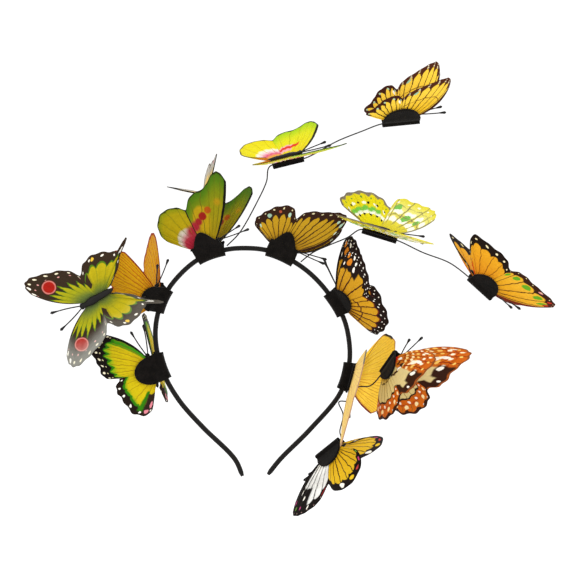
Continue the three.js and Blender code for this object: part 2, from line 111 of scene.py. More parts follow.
# Shader maths: a Signal wraps a socket, and sums on Signals add Math nodes
class Signal:
    def __init__(self, tree, socket):
        self.tree = tree
        self.socket = socket

    def make(self, kind, settings, sockets, output=0):
        node = self.tree.nodes.new(kind)
        for name, value in settings.items():
            if name == "stops":
                ramp = node.color_ramp
                while len(ramp.elements) < len(value):
                    ramp.elements.new(0.5)
                for element, (place, tone) in zip(ramp.elements, value):
                    element.position = place
                    element.color = tone
            else:
                setattr(node, name, value)
        for name, value in sockets.items():
            if isinstance(value, Signal):
                self.tree.links.new(value.socket, node.inputs[name])
            else:
                node.inputs[name].default_value = value
        return Signal(self.tree, node.outputs[output])

    def sum(self, operation, first, second=0.0):
        return self.make("ShaderNodeMath", {"operation": operation}, {0: first, 1: second})

    def __add__(self, other):
        return self.sum("ADD", self, other)

    def __radd__(self, other):
        return self.sum("ADD", other, self)

    def __sub__(self, other):
        return self.sum("SUBTRACT", self, other)

    def __rsub__(self, other):
        return self.sum("SUBTRACT", other, self)

    def __mul__(self, other):
        return self.sum("MULTIPLY", self, other)

    def __rmul__(self, other):
        return self.sum("MULTIPLY", other, self)

    def __truediv__(self, other):
        return self.sum("DIVIDE", self, other)

    def __pow__(self, other):
        return self.sum("POWER", self, other)

    def __abs__(self):
        return self.sum("ABSOLUTE", self)

    def fraction(self):
        return self.sum("FRACT", self)

    def larger(self, other):
        return self.sum("MAXIMUM", self, other)

    # 0 below low, 1 above high, smooth between
    def rise(self, low, high):
        settings = {"interpolation_type": "SMOOTHSTEP"}
        return self.make("ShaderNodeMapRange", settings, {"Value": self, "From Min": low, "From Max": high})

    def step(self, at, soft):
        return self.rise(at - soft, at + soft)

    def between(self, low, high, soft):
        return self.step(low, soft) * (1 - self.step(high, soft))

    def apart(self, other):
        return (self * self + other * other) ** 0.5

    # Distance from the middle of a cell, at most half a cell
    def fromMiddle(self, cells):
        return abs((self * cells).fraction() - 0.5)

    def blend(self, under, over):
        return self.make("ShaderNodeMix", {"data_type": "RGBA"}, {0: self, 6: under, 7: over}, 2)


def colour(code):
    parts = [int(code[i:i + 2], 16) / 255 for i in (1, 3, 5)]
    return (*[p / 12.92 if p <= 0.04045 else ((p + 0.055) / 1.055) ** 2.4 for p in parts], 1.0)


# A new material, a Signal to build from and the shader
def newLook(name, shine):
    material = bpy.data.materials.new(name)
    material.use_nodes = True
    tree = material.node_tree
    shader = tree.nodes["Principled BSDF"]
    shader.inputs["Specular IOR Level"].default_value = shine
    return material, Signal(tree, None), shader


def feed(signal, shader, name):
    signal.tree.links.new(signal.socket, shader.inputs[name])


def noiseOf(start, vector, scale, detail):
    return start.make("ShaderNodeTexNoise", {}, {"Vector": vector, "Scale": scale, "Detail": detail}, "Fac")


def bumpOf(start, height, distance, strength):
    sockets = {"Height": height, "Distance": distance, "Strength": strength}
    return start.make("ShaderNodeBump", {}, sockets, "Normal")


# Wing prints, read along the rays of the wing: s runs from root to margin, q from the leading side
# to the trailing side of the forewing or the hindwing. Places are shares, sizes are in mm. A disc is
# placed by its bearing and distance in the plane of the wing. A hindwing with no ramp has the forewing's.
prints = {
    "spread": {
        "foreRamp": [(0, "#445337"), (0.14, "#62702a"), (0.3, "#969615"), (0.55, "#aa9f12")],
        "fore": [
            ("veins", "#7c8018", 7, 0.4, 0.15), ("teeth", "#4c7414", 0.45, 0.24, 7),
            ("teeth", "#33261a", 0.5, 0.26, 7), ("strip", "#33261a", 0, 0.05),
            ("dots", "#efe6c6", 0.93, 0.85, 1, 8), ("dots", "#d99a94", 0.83, 0.55, 1, 7),
            ("disc", "#3a1a10", 45, 30.5, 5.2, 0.3), ("disc", "#c4746a", 45, 30.5, 4.6, 0.3),
            ("disc", "#9c1a10", 45, 30.5, 3.8, 0.3), ("spot", "#f4efe2", 0.08, 0.9, 1.5, 1.0),
            ("spot", "#f4efe2", 0.2, 0.94, 1.5, 1.0)],
        "hindRamp": [(0, "#445337"), (0.2, "#70791d"), (0.4, "#a59811"), (0.75, "#b4a212")],
        "hind": [
            ("veins", "#8c8a18", 6, 0.4, 0.2), ("patch", "#33261a", -0.1, 0.14, 0.35, 1.1),
            ("border", "#4c7414", 0.74, 0.1, 6), ("border", "#33261a", 0.79, 0.12, 6),
            ("strip", "#3a3a1c", 0.95, 1.02), ("dots", "#f1ecdc", 0.92, 0.8, 1, 6),
            ("spot", "#e0b83a", 0.3, 0.9, 1.2, 1.2), ("spot", "#f4f0e4", 0.67, 0.78, 1.6, 1.4)]},
    "amber": {
        "foreRamp": [(0, "#a96d09"), (0.3, "#c7900b"), (0.7, "#cb970d"), (1, "#bf840d")],
        "fore": [
            ("veins", "#a04a0c", 8, 0.45, 0.05), ("veins", "#a8560c", 16, 0.3, 0.5),
            ("border", "#8a2c0c", 0.965, 0.02, 8), ("strip", "#7c1e0e", 0, 0.05)],
        "hindRamp": [(0, "#a96d09"), (0.3, "#c7900b"), (0.7, "#cb970d"), (1, "#bf780d")],
        "hind": [
            ("veins", "#a04a0c", 7, 0.45, 0.05), ("veins", "#a8560c", 14, 0.3, 0.5),
            ("border", "#8a2c0c", 0.965, 0.02, 7), ("strip", "#8f2c1a", 0.93, 1.02)]},
    "temple": {
        "foreRamp": [(0, "#b1940a"), (0.4, "#c7af0c"), (0.66, "#c0ad0d"), (0.74, "#86a70f")],
        "fore": [
            ("strip", "#3f8a10", 0, 0.17), ("veins", "#8c6c10", 7, 0.3, 0.1),
            ("veins", "#8c6c10", 14, 0.2, 0.4), ("teeth", "#2c7408", 0.75, 0.1, 8),
            ("border", "#120b08", 0.81, 0.05, 8), ("strip", "#120b08", 0, 0.06),
            ("dots", "#efe6c6", 0.93, 0.8, 1, 9), ("dots", "#d8cf9a", 0.87, 0.45, 1, 9)],
        "hindRamp": [(0, "#b1940a"), (0.45, "#c8b10c"), (0.7, "#c0ad0d"), (0.78, "#68980f")],
        "hind": [
            ("veins", "#8c6c10", 6, 0.3, 0.1), ("border", "#2c7408", 0.78, 0.06, 7),
            ("border", "#1c120c", 0.84, 0.06, 7), ("patch", "#2c7408", 0.6, 0.68, 0.35, 0.9),
            ("patch", "#2a1c14", 0.67, 1.1, 0.4, 1.1), ("spot", "#d8808c", 0.78, 0.74, 2.8, 1.4),
            ("spot", "#d8808c", 0.72, 0.88, 1.5, 1.5), ("dots", "#f4f0e4", 0.93, 0.85, 1, 7)]},
    "leaf": {
        "foreRamp": [(0, "#8c7009"), (0.3, "#8c7b0a"), (0.55, "#847d0a"), (0.74, "#6c760b"),
            (0.88, "#4c6c0c"), (1, "#38620c")],
        "fore": [
            ("spot", "#a3850c", 0.74, 0.45, 13, 7), ("veins", "#5e5c0e", 6, 0.35, 0.1),
            ("disc", "#93212c", 93, 15.5, 3.4, 1.4), ("disc", "#8c1e20", 80, 18, 2.5, 0.8),
            ("disc", "#871a12", 70, 21.5, 2.8, 0.5), ("disc", "#9c480c", 61, 26, 2.4, 0.6),
            ("disc", "#9c7c0e", 50, 33, 2.2, 1.6), ("border", "#26300a", 0.98, 0.015, 6),
            ("strip", "#0f0c07", 0, 0.08)],
        "hindRamp": [(0, "#67151f"), (0.2, "#931a2c"), (0.3, "#9a2a38"), (0.37, "#ad7f7c"),
            (0.42, "#b5a79a"), (0.48, "#b0a890"), (0.51, "#a08a09"), (0.85, "#98880a"), (1, "#6d7b0b")],
        "hind": [
            ("disc", "#93212c", 108, 14, 3.8, 2.0), ("veins", "#70700f", 6, 0.35, 0.3),
            ("patch", "#c05a10", 0.88, 1.02, 0.5, 0.93), ("border", "#26300a", 0.975, 0.02, 6),
            ("strip", "#1c1710", 0, 0.04)]},
    "rear": {
        "foreRamp": [(0, "#d8b040"), (0.5, "#e0c070"), (0.72, "#aaa598"), (1, "#b5b0a8")],
        "fore": [
            ("veins", "#857a5e", 6, 0.35, 0.1), ("border", "#6b6252", 0.95, 0.02, 6),
            ("strip", "#0f0c08", 0, 0.25), ("spot", "#c98a92", 0.55, 0.9, 1.6, 1.2)],
        "hindRamp": [(0, "#d8b040"), (0.5, "#e0c070"), (0.72, "#b0a99a"), (1, "#b5b0a8")],
        "hind": [
            ("veins", "#857a5e", 6, 0.35, 0.1), ("border", "#6b6252", 0.95, 0.02, 6)]},
    "lemon": {
        "foreRamp": [(0, "#cdb010"), (0.35, "#d8c80e"), (0.7, "#cccc10"), (1, "#8cba10")],
        "fore": [
            ("veins", "#a8a010", 6, 0.3, 0.15), ("patch", "#e0a0a4", 0.6, 1.02, 0.28, 0.5),
            ("patch", "#cf2c14", 0.42, 1.02, 0.37, 0.46), ("border", "#26300e", 0.98, 0.015, 6),
            ("strip", "#0f0c07", 0, 0.08)],
        "hindRamp": [(0, "#cdb010"), (0.24, "#d89a3a"), (0.34, "#d0507a"), (0.44, "#e6bcc0"),
            (0.53, "#ece4d0"), (0.6, "#d8cc0e"), (1, "#d0c40e")],
        "hind": [
            ("veins", "#b5a010", 6, 0.3, 0.3), ("border", "#5a4c12", 0.98, 0.015, 6),
            ("patch", "#c8701c", 0.86, 1.02, 0.55, 0.95)]},
    "tip_tiger": {
        "foreRamp": [(0, "#c0901a"), (0.3, "#e2b222"), (0.7, "#ecc43e")],
        "fore": [
            ("veins", "#3a1c0e", 8, 0.55, 0.1), ("ring", "#6b4218", 0.58, 0.6),
            ("border", "#4a2414", 0.91, 0.11, 8), ("strip", "#3c1a10", 0, 0.08),
            ("dots", "#d9cca0", 0.935, 0.7, 0.8, 8), ("dots", "#e6dcc0", 0.98, 0.4, 1, 8),
            ("spot", "#8fb89a", 0.7, 0.86, 1.4, 1.2)],
        "hind": [
            ("veins", "#2c140c", 9, 0.6, 0.1), ("border", "#3c1a10", 0.9, 0.2, 9),
            ("dots", "#a8c4a0", 0.9, 0.8, 1, 6), ("spot", "#f0ead8", 0.12, 0.8, 1.5, 1.2)]},
    "crown_tiger": {
        "foreRamp": [(0, "#89610e"), (0.4, "#a98017"), (0.8, "#b08919")],
        "fore": [
            ("veins", "#2f190e", 9, 0.5, 0.08), ("border", "#2f190e", 0.84, 0.17, 9),
            ("strip", "#2f190e", 0, 0.08), ("dots", "#d6cba0", 0.93, 0.6, 1, 9),
            ("spot", "#a5c4ae", 0.16, 0.87, 1.7, 1.2), ("spot", "#a5c4ae", 0.27, 0.85, 1.3, 1.0),
            ("spot", "#c9d6c0", 0.1, 0.76, 1.2, 0.8)],
        "hind": [
            ("veins", "#2f190e", 8, 0.5, 0.08), ("border", "#2f190e", 0.77, 0.15, 8),
            ("dots", "#d6cba0", 0.93, 0.5, 1, 8), ("spot", "#a5c4ae", 0.2, 0.8, 1.6, 1.3),
            ("spot", "#8fae98", 0.52, 0.84, 1.5, 1.3), ("spot", "#a04830", 0.36, 0.86, 1.0, 0.9),
            ("spot", "#a5c4ae", 0.75, 0.72, 1.4, 1.0)]},
    "monarch": {
        "foreRamp": [(0, "#9b630f"), (0.35, "#be8918"), (0.8, "#c5911a")],
        "fore": [
            ("veins", "#3c1208", 4, 0.75, 0.05), ("border", "#1a0d08", 0.81, 0.06, 5),
            ("patch", "#1a0d08", -0.1, 0.6, 0.57, 1.1), ("strip", "#1a0d08", 0, 0.07),
            ("spot", "#cf7a1a", 0.27, 0.73, 3.0, 2.2), ("spot", "#cf7a1a", 0.17, 0.86, 2.3, 1.4),
            ("spot", "#f2ecdf", 0.46, 0.68, 2.0, 1.3), ("spot", "#f2ecdf", 0.44, 0.79, 1.5, 1.0),
            ("spot", "#f2ecdf", 0.12, 0.68, 1.8, 0.8), ("spot", "#f2ecdf", 0.34, 0.86, 1.1, 0.9),
            ("dots", "#f2ecdf", 0.93, 0.55, 1, 11), ("dots", "#f2ecdf", 0.875, 0.4, 1, 11)],
        "hind": [
            ("veins", "#3c1208", 8, 0.8, 0.05), ("ring", "#4a2010", 0.4, 0.43),
            ("border", "#5a1610", 0.8, 0.06, 8), ("border", "#1a0d08", 0.83, 0.06, 8),
            ("dots", "#f2ecdf", 0.865, 0.5, 1, 10), ("dots", "#f2ecdf", 0.935, 0.45, 1, 12)]},
    "lime": {
        "ragged": 0.12,
        "foreRamp": [(0, "#c9b81c"), (0.35, "#d6c93c"), (0.75, "#dcd672"), (1, "#d4c82c")],
        "fore": [
            ("dots", "#f0eedc", 0.42, 2.3, 1.3, 5), ("dots", "#f0eedc", 0.66, 2.7, 1.1, 5),
            ("spot", "#74b44c", 0.5, 0.53, 3.8, 2.2), ("spot", "#74b44c", 0.74, 0.76, 3.4, 2.4),
            ("spot", "#74b44c", 0.25, 0.56, 2.9, 1.8), ("veins", "#857f52", 5, 0.65, 0.2),
            ("ring", "#857f52", 0.54, 0.56), ("ring", "#94905a", 0.8, 0.815), ("strip", "#8a8258", 0, 0.045),
            ("dots", "#f0ead0", 0.9, 0.9, 1, 7)],
        "hindRamp": [(0, "#cfc012"), (0.35, "#dacd10"), (1, "#d4c612")],
        "hind": [
            ("ring", "#e8ead2", 0.42, 0.54), ("patch", "#6fb83e", 0.15, 0.85, 0.5, 0.62),
            ("dots", "#e8ead2", 0.7, 1.5, 0.9, 6), ("veins", "#b5a812", 8, 0.3, 0.2),
            ("dots", "#201c0e", 0.41, 1.0, 1.0, 7), ("dots", "#201c0e", 0.73, 1.05, 0.9, 7),
            ("dots", "#5a8a2a", 0.84, 0.7, 1.3, 8), ("border", "#7a7058", 0.95, 0.06, 9)]},
    "tip_orange": {
        "foreRamp": [(0, "#b8780e"), (0.35, "#d5981a"), (0.75, "#dca62a")],
        "fore": [
            ("veins", "#4a220c", 6, 0.55, 0.08), ("dots", "#5c9a1e", 0.8, 1.8, 1.6, 6),
            ("border", "#33180c", 0.9, 0.06, 6), ("strip", "#6a2412", 0, 0.13),
            ("patch", "#4a1c10", -0.1, 0.3, 0.88, 1.1), ("spot", "#b02c1a", 0.2, 0.87, 1.9, 1.4),
            ("spot", "#b02c1a", 0.33, 0.93, 1.4, 1.1), ("spot", "#d98a8c", 0.5, 0.95, 1.1, 0.9),
            ("dots", "#dccf9a", 0.965, 0.4, 1, 9)],
        "hindRamp": [(0, "#b8620e"), (0.25, "#d08416"), (0.7, "#d8981c")],
        "hind": [
            ("veins", "#6a340c", 6, 0.4, 0.08), ("patch", "#cc4a10", 0.78, 0.93, 0.15, 0.62),
            ("border", "#1a0f08", 0.83, 0.06, 8), ("dots", "#e9dcae", 0.915, 0.95, 0.8, 8),
            ("strip", "#5e2614", 0.96, 1.02)]},
    "plain": {
        "foreRamp": [(0, "#deac20"), (0.5, "#f6c93a"), (1, "#f0c030")],
        "fore": [
            ("veins", "#c88414", 10, 0.35, 0.05), ("veins", "#cf9018", 20, 0.25, 0.5),
            ("border", "#a8641c", 0.975, 0.02, 8), ("strip", "#7c2418", 0, 0.07)],
        "hind": [
            ("veins", "#c88414", 9, 0.35, 0.05), ("veins", "#cf9018", 18, 0.25, 0.5),
            ("border", "#a8641c", 0.98, 0.015, 8), ("patch", "#1c120c", 0.5, 0.75, 0.95, 1.1)]},
    "checkered": {
        "ragged": 0.08,
        "foreRamp": [(0, "#b5140e"), (0.1, "#c9301a"), (0.16, "#c4701a"), (0.5, "#c46c1a"),
            (0.8, "#c25e14")],
        "fore": [
            ("veins", "#7a260c", 8, 0.55, 0.12), ("ring", "#8a2c10", 0.3, 0.315),
            ("ring", "#8a2c10", 0.42, 0.435), ("ring", "#9a3410", 0.7, 0.715),
            ("ring", "#9a3410", 0.82, 0.835), ("dots", "#f4d890", 0.36, 1.1, 1.2, 9),
            ("dots", "#f4e0b0", 0.5, 1.1, 1.2, 10), ("dots", "#f0c060", 0.62, 1.2, 1.4, 9),
            ("dots", "#f6ecd0", 0.76, 1.1, 1.5, 8), ("dots", "#f0c868", 0.89, 0.9, 1.2, 9),
            ("patch", "#b8120e", -0.1, 0.5, -0.1, 0.12), ("spot", "#f4f0e6", 0.25, 0.2, 2.0, 1.4),
            ("spot", "#1c100a", 0.45, 0.22, 1.0, 2.2), ("patch", "#d4c284", 0.62, 1.02, 0.08, 0.3),
            ("patch", "#33190f", 0.45, 1.02, 0.3, 0.36), ("spot", "#f4f0e6", 0.62, 0.33, 1.2, 1.6),
            ("patch", "#d8c68c", 0.58, 1.02, 0.36, 0.7), ("patch", "#33190f", 0.55, 1.1, 0.68, 0.97),
            ("patch", "#d8c68c", 0.74, 0.86, 0.6, 0.8), ("spot", "#f4f0e6", 0.6, 0.76, 2.6, 1.5),
            ("spot", "#f4f0e6", 0.78, 0.9, 1.4, 1.0), ("spot", "#f4ecd8", 0.42, 0.56, 3.2, 1.7),
            ("spot", "#f4f0e6", 0.4, 0.68, 3.2, 1.5), ("spot", "#f6ecd0", 0.14, 0.82, 2.6, 1.1),
            ("spot", "#f6ecd0", 0.26, 0.9, 1.8, 1.0), ("border", "#8a4a20", 0.98, 0.015, 8)],
        "hindRamp": [(0, "#c99a2c"), (0.18, "#d2ac44"), (0.34, "#d6c484"), (0.64, "#d9c788"),
            (0.69, "#c65c0e"), (1, "#c86612")],
        "hind": [
            ("veins", "#7c5a20", 9, 0.3, 0.1), ("ring", "#150c08", 0.26, 0.285),
            ("ring", "#150c08", 0.65, 0.685), ("dots", "#f2ecdf", 0.75, 0.8, 1.1, 8),
            ("dots", "#f2dca4", 0.86, 1.3, 1.1, 7), ("ring", "#a83c10", 0.79, 0.803),
            ("dots", "#f2ecdf", 0.945, 0.6, 1, 9), ("border", "#33190f", 0.955, 0.05, 8)]},
    "clearwing": {
        "clear": 0.3,
        "foreRamp": [(0, "#e0d8c0"), (0.3, "#eceae4"), (1, "#eceae4")],
        "fore": [
            ("veins", "#120c08", 6, 0.75, 0.05), ("border", "#120c08", 0.87, 0.06, 6),
            ("patch", "#120c08", -0.1, 0.56, 0.56, 1.1), ("strip", "#120c08", 0, 0.2),
            ("spot", "#f2ecdf", 0.25, 0.64, 1.8, 1.0), ("spot", "#f2ecdf", 0.42, 0.72, 1.6, 1.0),
            ("spot", "#b8407a", 0.15, 0.86, 1.5, 0.8), ("spot", "#6fa83a", 0.28, 0.9, 1.3, 0.8),
            ("spot", "#b8407a", 0.42, 0.88, 1.2, 0.8), ("spot", "#f2ecdf", 0.6, 0.92, 1.2, 0.9),
            ("spot", "#8c1c1c", 0.88, 0.93, 0.9, 2.2), ("dots", "#c9a49c", 0.965, 0.35, 1, 9)],
        "hindRamp": [(0, "#b0800f"), (0.35, "#d2a314"), (0.85, "#d6ac1c")],
        "hind": [
            ("veins", "#2c1c0c", 10, 0.6, 0.12), ("border", "#150c08", 0.85, 0.06, 9),
            ("spot", "#f2ecdf", 0.3, 0.91, 1.5, 1.8), ("spot", "#dcb41c", 0.44, 0.91, 1.4, 1.8),
            ("spot", "#b83a3a", 0.55, 0.92, 0.9, 1.8), ("spot", "#c0407a", 0.66, 0.92, 0.9, 1.9),
            ("spot", "#6fa83a", 0.78, 0.9, 1.2, 1.5), ("spot", "#f2ecdf", 0.9, 0.9, 1.0, 1.2)]},
}


# Masks of the kinds of ink: reach is the length of the rays, span the width of the half at s
def veinsMask(s, q, reach, span, cells, width, start, fadeIn=0.15):
    aside = (0.5 - q.fromMiddle(cells)) * span / cells
    return (1 - aside.rise(width * 0.3, width * 0.8)) * s.rise(start, start + fadeIn)


def borderMask(s, q, reach, span, at, scallop, cells, soft=0.012):
    return (s + (q.fromMiddle(cells) * 2) ** 2 * scallop).step(at, soft)


def teethMask(s, q, reach, span, at, depth, cells, soft=0.015):
    return (s + q.fromMiddle(cells) * 2 * depth).step(at + depth / 2, soft)


def stripMask(s, q, reach, span, low, high, soft=0.008):
    return q.between(low - soft / 2, high, soft)


def ringMask(s, q, reach, span, low, high, soft=0.008):
    return s.between(low, high, soft)


def patchMask(s, q, reach, span, left, right, low, high, soft=0.02):
    return q.between(left, right, soft) * s.between(low, high, soft)


def dotsMask(s, q, reach, span, at, size, stretch, cells, soft=0.2):
    across = ((q * cells).fraction() - 0.5) * span / cells
    along = (s - at) * reach / stretch
    return 1 - across.apart(along).step(size, size * soft)


def spotMask(s, q, reach, span, across, at, long, wide, soft=0.12):
    aside = (q - across) * span / wide
    along = (s - at) * reach / long
    return 1 - aside.apart(along).step(1, soft)


def discMask(flat, bearing, distance, radius, soft):
    aside = flat[0] - distance * math.cos(math.radians(bearing))
    along = flat[1] - distance * math.sin(math.radians(bearing))
    return 1 - aside.apart(along).step(radius, soft)


masks = {
    "veins": veinsMask, "border": borderMask, "teeth": teethMask, "strip": stripMask, "ring": ringMask,
    "patch": patchMask, "dots": dotsMask, "spot": spotMask,
}


# One half of a print: the ramp, then each layer of ink over it. Gives its colour, ink and veins
def printHalf(spec, half, flat, s, q, reach, rootSpan, marginSpan):
    ramp = spec.get(half + "Ramp", spec["foreRamp"])
    span = s * (marginSpan - rootSpan) + rootSpan
    stops = [(place, colour(code)) for place, code in ramp]
    shown = s.make("ShaderNodeValToRGB", {"stops": stops}, {"Fac": s}, "Color")
    inked = None
    ridge = None
    for kind, code, *sizes in spec[half]:
        mask = discMask(flat, *sizes) if kind == "disc" else masks[kind](s, q, reach, span, *sizes)
        shown = mask.blend(shown, colour(code))
        inked = mask if inked is None else inked.larger(mask)
        if kind == "veins":
            ridge = mask
    return shown, inked, ridge


# Printed film: density is the share of light that it gives back, clear film starts away from the root, and
# haze is the colour of the painted light laid over part of some wings
film = {
    "density": 0.95, "grain": 0.3, "speckle": 0.2, "ragged": 0.05, "sway": 0.05, "haze": "#c4c6bc",
    "clearFrom": 0.3, "clearBy": 0.5, "shine": 0.05, "seam": 0.002, "veinHeight": 0.0002,
    "veinStrength": 0.5, "speckleHeight": 0.25, "rough": 0.42, "roughShare": 0.2,
}


def filmLook(row, paintedLight):
    spec = prints[row["name"]]
    spans = printSpans(row)
    split = wing["split"]
    material, start, shader = newLook(row["name"] + "Film", film["shine"])
    uv = start.make("ShaderNodeTexCoord", {}, {}, "UV")
    grain = noiseOf(start, uv, 24.0, 3.0)
    speckle = noiseOf(start, uv, 190.0, 2.0)
    s = start.make("ShaderNodeSeparateXYZ", {}, {"Vector": uv}, "X")
    s = s + (grain - 0.5) * spec.get("ragged", film["ragged"])
    t = start.make("ShaderNodeSeparateXYZ", {}, {"Vector": uv}, "Y")
    hindSide = t.step(split, film["seam"])
    sway = (noiseOf(start, uv, 9.0, 2.0) - 0.5) * film["sway"]
    laid = start.make("ShaderNodeAttribute", {"attribute_name": "flat"}, {}, "Vector")
    flat = [start.make("ShaderNodeSeparateXYZ", {}, {"Vector": laid}, axis) for axis in ("X", "Y")]
    fore = printHalf(spec, "fore", flat, s, t / split + sway, *spans["fore"])
    hind = printHalf(spec, "hind", flat, s, (t - split) / (1 - split) + sway, *spans["hind"])
    whole = hindSide.blend(fore[0], hind[0])
    # Painted light: a pale grey haze mixed over part of the film, where the thin film looks lit through
    if paintedLight:
        foreShare, hindShare, low, high = paintedLight
        haze = s.rise(low, high) * (hindSide * (hindShare - foreShare) + foreShare)
        whole = haze.blend(whole, colour(film["haze"]))
    shade = (speckle - 0.5) * film["speckle"] + (grain - 0.5) * film["grain"] + film["density"]
    multiply = {"data_type": "RGBA", "blend_type": "MULTIPLY"}
    feed(start.make("ShaderNodeMix", multiply, {0: 1.0, 6: whole, 7: shade}, 2), shader, "Base Color")
    height = fore[2] * (1 - hindSide) + hind[2] * hindSide + speckle * film["speckleHeight"]
    feed(bumpOf(start, height, film["veinHeight"], film["veinStrength"]), shader, "Normal")
    feed(speckle * film["roughShare"] + film["rough"], shader, "Roughness")
    if "clear" in spec:
        window = (1 - fore[1]) * (1 - hindSide) * s.rise(film["clearFrom"], film["clearBy"])
        feed(1 - window * spec["clear"], shader, "Alpha")
    return material


# Black materials. Grains are noises: scale, detail, share of the tone, share of the bump. The ribs of the
# cover are a number to the millimetre and the same two shares
blacks = {
    "bandCover": {
        "grains": [(900, 3, 0.4, 0.5), (60, 2, 0.3, 0)], "ribs": (1.4, 0.35, 0.6), "tones": (0.2, 1),
        "dark": "#050404", "pale": "#171310", "shine": 0.15, "sheen": 0.05, "rough": 0.5, "roughShare": 0.3,
        "depth": 0.0003, "strength": 0.6},
    "blackFelt": {
        "grains": [(1400, 4, 0.6, 0.6), (260, 3, 0.5, 0.8)], "tones": (0.3, 0.9),
        "dark": "#060504", "pale": "#181412", "shine": 0.05, "sheen": 0.06, "rough": 0.8, "roughShare": 0.2,
        "depth": 0.0004, "strength": 0.7},
    "blackBody": {
        "grains": [(1100, 4, 0.6, 1), (200, 2, 0.4, 0.5)], "tones": (0.3, 0.9),
        "dark": "#050403", "pale": "#181411", "shine": 0.2, "sheen": 0, "rough": 0.38, "roughShare": 0.3,
        "depth": 0.0003, "strength": 0.6},
    "blackWire": {
        "grains": [(500, 3, 1, 1)], "tones": (0.35, 0.85),
        "dark": "#0b0a09", "pale": "#2e2b28", "shine": 0.3, "sheen": 0, "rough": 0.35, "roughShare": 0.25,
        "depth": 0.0001, "strength": 0.4},
}


def blackLook(name):
    spec = blacks[name]
    material, start, shader = newLook(name, spec["shine"])
    place = start.make("ShaderNodeTexCoord", {}, {}, "Object")
    grains = [(noiseOf(start, place, scale, detail), *shares) for scale, detail, *shares in spec["grains"]]
    rough = grains[0][0] * spec["roughShare"] + spec["rough"]
    if "ribs" in spec:
        number, *shares = spec["ribs"]
        along = start.make("ShaderNodeAttribute", {"attribute_name": "along"}, {}, "Fac")
        grains.append((along.fromMiddle(number) * 2, *shares))
    tone = sum(grain * share for grain, share, _ in grains).rise(*spec["tones"])
    height = sum(grain * share for grain, _, share in grains)
    feed(tone.blend(colour(spec["dark"]), colour(spec["pale"])), shader, "Base Color")
    feed(rough, shader, "Roughness")
    feed(bumpOf(start, height, spec["depth"], spec["strength"]), shader, "Normal")
    shader.inputs["Sheen Weight"].default_value = spec["sheen"]
    return material


def addObject(name, data):
    thing = bpy.data.objects.new(name, data)
    bpy.context.collection.objects.link(thing)
    return thing


def addMesh(bm, name, material):
    mesh = bpy.data.meshes.new(name)
    bm.to_mesh(mesh)
    bm.free()
    mesh.materials.append(material)
    return addObject(name, mesh)


# Turns a bmesh into a piece that rides on the headband and stands for its node
def finishPiece(bm, place, name, node, slot, material, thickness=0):
    bmesh.ops.transform(bm, matrix=place, verts=bm.verts)
    for face in bm.faces:
        face.smooth = True
    piece = addMesh(bm, name, material)
    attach(piece, "root")
    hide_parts(node)
    if thickness:
        sheet = piece.modifiers.new("thickness", "SOLIDIFY")
        sheet.thickness = thickness * mm
        sheet.offset = 0.0
    return piece


# A ring carried through a row of frames by extruding it, closed at both ends
def sweepRing(bm, frames, sides, squareness=1.0):
    ring = bmesh.ops.create_circle(bm, segments=sides, radius=1.0)["verts"]
    for vert in ring:
        for axis in (0, 1):
            vert.co[axis] = math.copysign(abs(vert.co[axis]) ** squareness, vert.co[axis])
    edges = list(dict.fromkeys(edge for vert in ring for edge in vert.link_edges))
    bmesh.ops.transform(bm, matrix=frames[0], verts=ring)
    rings = [ring]
    bmesh.ops.contextual_create(bm, geom=edges)
    for before, after in zip(frames, frames[1:]):
        made = bmesh.ops.extrude_edge_only(bm, edges=edges)["geom"]
        ring = [part for part in made if isinstance(part, bmesh.types.BMVert)]
        fresh = set(ring)
        edges = [
            part for part in made
            if isinstance(part, bmesh.types.BMEdge) and fresh.issuperset(part.verts)
        ]
        bmesh.ops.transform(bm, matrix=after @ before.inverted(), verts=ring)
        rings.append(ring)
    bmesh.ops.contextual_create(bm, geom=edges)
    return rings


# Frames along a path: each has its own width and height, and turns no more than it must
def framesAlong(path, sizes, side):
    frames = []
    for index, middle in enumerate(path):
        ahead = (path[min(index + 1, len(path) - 1)] - path[max(index - 1, 0)]).normalized()
        side = (side - ahead * side.dot(ahead)).normalized()
        wide, high = sizes[index]
        turn = Matrix((side * wide, ahead.cross(side) * high, ahead * max(wide, high))).transposed().to_4x4()
        frames.append(Matrix.Translation(middle) @ turn)
    return frames
